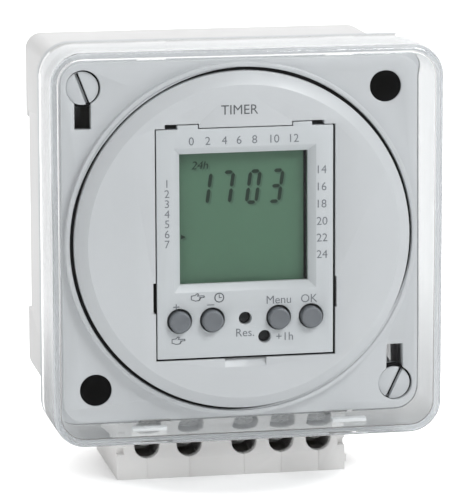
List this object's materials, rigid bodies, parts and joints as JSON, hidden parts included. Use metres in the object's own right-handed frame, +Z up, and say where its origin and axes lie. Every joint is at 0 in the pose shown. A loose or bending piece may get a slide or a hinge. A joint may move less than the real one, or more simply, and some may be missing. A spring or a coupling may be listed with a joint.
{
  "type": "din rail timer",
  "caption": "Square digital time switch with clear cover, round disc, display, push buttons, panel clamps, rail latch and screw terminals below.",
  "frame": {"origin": "centre of the square front projected on the rear mounting plane, midway between the two wall screw holes", "axes": "+Z up, +Y into the wall, -Y towards the viewer, X across the front"},
  "size_m": [0.072, 0.055, 0.0827],
  "materials": {
    "clear_cover": "clear polycarbonate, polished",
    "window_clear": "clear pane, polished",
    "frame_grey": "light grey moulded plastic, fine matt texture",
    "housing_grey": "light grey moulded plastic",
    "terminal_grey": "light grey moulded plastic",
    "disc_grey": "light grey moulded plastic, satin",
    "module_grey": "light grey moulded plastic, satin",
    "clamp_grey": "light grey moulded plastic",
    "latch_grey": "grey moulded plastic",
    "display_cell": "green reflective liquid crystal cell",
    "holder_white": "white moulded plastic",
    "strip_rubber": "layered conductive rubber",
    "circuit_board": "glass epoxy board with green lacquer",
    "spring_steel": "bright spring steel",
    "chip_black": "moulded resin",
    "bright_can": "drawn metal can",
    "cell_steel": "nickel plated cell case",
    "header_black": "black header moulding",
    "relay_case": "blue relay case",
    "capacitor_box": "yellow box capacitor",
    "capacitor_sleeve": "dark printed sleeve",
    "varistor_blue": "blue epoxy dip",
    "contact_brass": "tinned brass strip",
    "plated_screw": "zinc plated steel",
    "plated_cage": "zinc plated steel",
    "button_grey": "mid grey moulded plastic",
    "pin_dark": "dark grey moulded plastic"
  },
  "bodies": {
    "housing": {"rear_housing": "housing_grey", "front_frame": "frame_grey", "terminal_housing": "terminal_grey", "dial_disc": "disc_grey", "module_bezel": "module_grey", "module_case": "module_grey", "lcd_window": "window_clear", "lcd_glass": "display_cell", "lcd_holder": "holder_white", "zebra_strips": "strip_rubber", "display_board": "circuit_board", "contact_domes": "spring_steel", "microcontroller": "chip_black", "quartz_crystal": "bright_can", "backup_cell": "cell_steel", "battery_clip": "spring_steel", "board_header": "header_black", "power_board": "circuit_board", "relay": "relay_case", "film_capacitor": "capacitor_box", "smoothing_capacitor": "capacitor_sleeve", "varistor": "varistor_blue", "terminal_contacts": "contact_brass", "latch_spring": "spring_steel"},
    "cover": {"clear_cover": "clear_cover"},
    "rail_latch": {"din_latch": "latch_grey"},
    "upper_clamp": {"panel_clamp_upper": "clamp_grey"},
    "lower_clamp": {"panel_clamp_lower": "clamp_grey"},
    "plus_key": {"button_plus": "button_grey"},
    "minus_key": {"button_minus": "button_grey"},
    "menu_key": {"button_menu": "button_grey"},
    "ok_key": {"button_ok": "button_grey"},
    "reset_key": {"button_reset": "pin_dark"},
    "hour_key": {"button_hour": "pin_dark"},
    "screw_1": {"terminal_screw_1": "plated_screw"},
    "cage_1": {"terminal_cage_1": "plated_cage"},
    "screw_2": {"terminal_screw_2": "plated_screw"},
    "cage_2": {"terminal_cage_2": "plated_cage"},
    "screw_3": {"terminal_screw_3": "plated_screw"},
    "cage_3": {"terminal_cage_3": "plated_cage"},
    "screw_4": {"terminal_screw_4": "plated_screw"},
    "cage_4": {"terminal_cage_4": "plated_cage"},
    "screw_5": {"terminal_screw_5": "plated_screw"},
    "cage_5": {"terminal_cage_5": "plated_cage"}
  },
  "joints": [
    {"name": "cover_pull", "type": "slide", "parent": "housing", "child": "cover", "axis": [0, -1, 0], "range_m": [0, 0.025]},
    {"name": "latch_slide", "type": "slide", "parent": "housing", "child": "rail_latch", "axis": [0, 0, -1], "range_m": [0, 0.003], "stiffness_N_per_m": 500, "springref_m": -0.002, "deforming": ["latch_spring"]},
    {"name": "upper_clamp_turn", "type": "hinge", "parent": "housing", "child": "upper_clamp", "pos_m": [-0.029, -0.0323, 0.0286], "axis": [0, 1, 0], "range_deg": [0, 90]},
    {"name": "lower_clamp_turn", "type": "hinge", "parent": "housing", "child": "lower_clamp", "pos_m": [0.029, -0.0323, -0.0286], "axis": [0, 1, 0], "range_deg": [0, 90]},
    {"name": "plus_press", "type": "slide", "parent": "housing", "child": "plus_key", "axis": [0, 1, 0], "range_m": [0, 0.0005], "stiffness_N_per_m": 600, "springref_m": -0.0003},
    {"name": "minus_press", "type": "slide", "parent": "housing", "child": "minus_key", "axis": [0, 1, 0], "range_m": [0, 0.0005], "stiffness_N_per_m": 600, "springref_m": -0.0003},
    {"name": "menu_press", "type": "slide", "parent": "housing", "child": "menu_key", "axis": [0, 1, 0], "range_m": [0, 0.0005], "stiffness_N_per_m": 600, "springref_m": -0.0003},
    {"name": "ok_press", "type": "slide", "parent": "housing", "child": "ok_key", "axis": [0, 1, 0], "range_m": [0, 0.0005], "stiffness_N_per_m": 600, "springref_m": -0.0003},
    {"name": "reset_press", "type": "slide", "parent": "housing", "child": "reset_key", "axis": [0, 1, 0], "range_m": [0, 0.0005], "stiffness_N_per_m": 600, "springref_m": -0.0003},
    {"name": "hour_press", "type": "slide", "parent": "housing", "child": "hour_key", "axis": [0, 1, 0], "range_m": [0, 0.0005], "stiffness_N_per_m": 600, "springref_m": -0.0003},
    {"name": "screw_1_turn", "type": "hinge", "parent": "housing", "child": "screw_1", "pos_m": [-0.016, -0.0314, -0.0394], "axis": [0, 1, 0], "range_deg": [0, 2880]},
    {"name": "cage_1_rise", "type": "slide", "parent": "housing", "child": "cage_1", "axis": [0, -1, 0], "range_m": [0, 0.004]},
    {"name": "screw_2_turn", "type": "hinge", "parent": "housing", "child": "screw_2", "pos_m": [-0.008, -0.0314, -0.0394], "axis": [0, 1, 0], "range_deg": [0, 2880]},
    {"name": "cage_2_rise", "type": "slide", "parent": "housing", "child": "cage_2", "axis": [0, -1, 0], "range_m": [0, 0.004]},
    {"name": "screw_3_turn", "type": "hinge", "parent": "housing", "child": "screw_3", "pos_m": [0.0024, -0.0314, -0.0394], "axis": [0, 1, 0], "range_deg": [0, 2880]},
    {"name": "cage_3_rise", "type": "slide", "parent": "housing", "child": "cage_3", "axis": [0, -1, 0], "range_m": [0, 0.004]},
    {"name": "screw_4_turn", "type": "hinge", "parent": "housing", "child": "screw_4", "pos_m": [0.0095, -0.0314, -0.0394], "axis": [0, 1, 0], "range_deg": [0, 2880]},
    {"name": "cage_4_rise", "type": "slide", "parent": "housing", "child": "cage_4", "axis": [0, -1, 0], "range_m": [0, 0.004]},
    {"name": "screw_5_turn", "type": "hinge", "parent": "housing", "child": "screw_5", "pos_m": [0.0166, -0.0314, -0.0394], "axis": [0, 1, 0], "range_deg": [0, 2880]},
    {"name": "cage_5_rise", "type": "slide", "parent": "housing", "child": "cage_5", "axis": [0, -1, 0], "range_m": [0, 0.004]}
  ],
  "couplings": [
    {"joint": "screw_1_turn", "follows": "cage_1_rise", "rad_per_m": 12566},
    {"joint": "screw_2_turn", "follows": "cage_2_rise", "rad_per_m": 12566},
    {"joint": "screw_3_turn", "follows": "cage_3_rise", "rad_per_m": 12566},
    {"joint": "screw_4_turn", "follows": "cage_4_rise", "rad_per_m": 12566},
    {"joint": "screw_5_turn", "follows": "cage_5_rise", "rad_per_m": 12566}
  ]
}
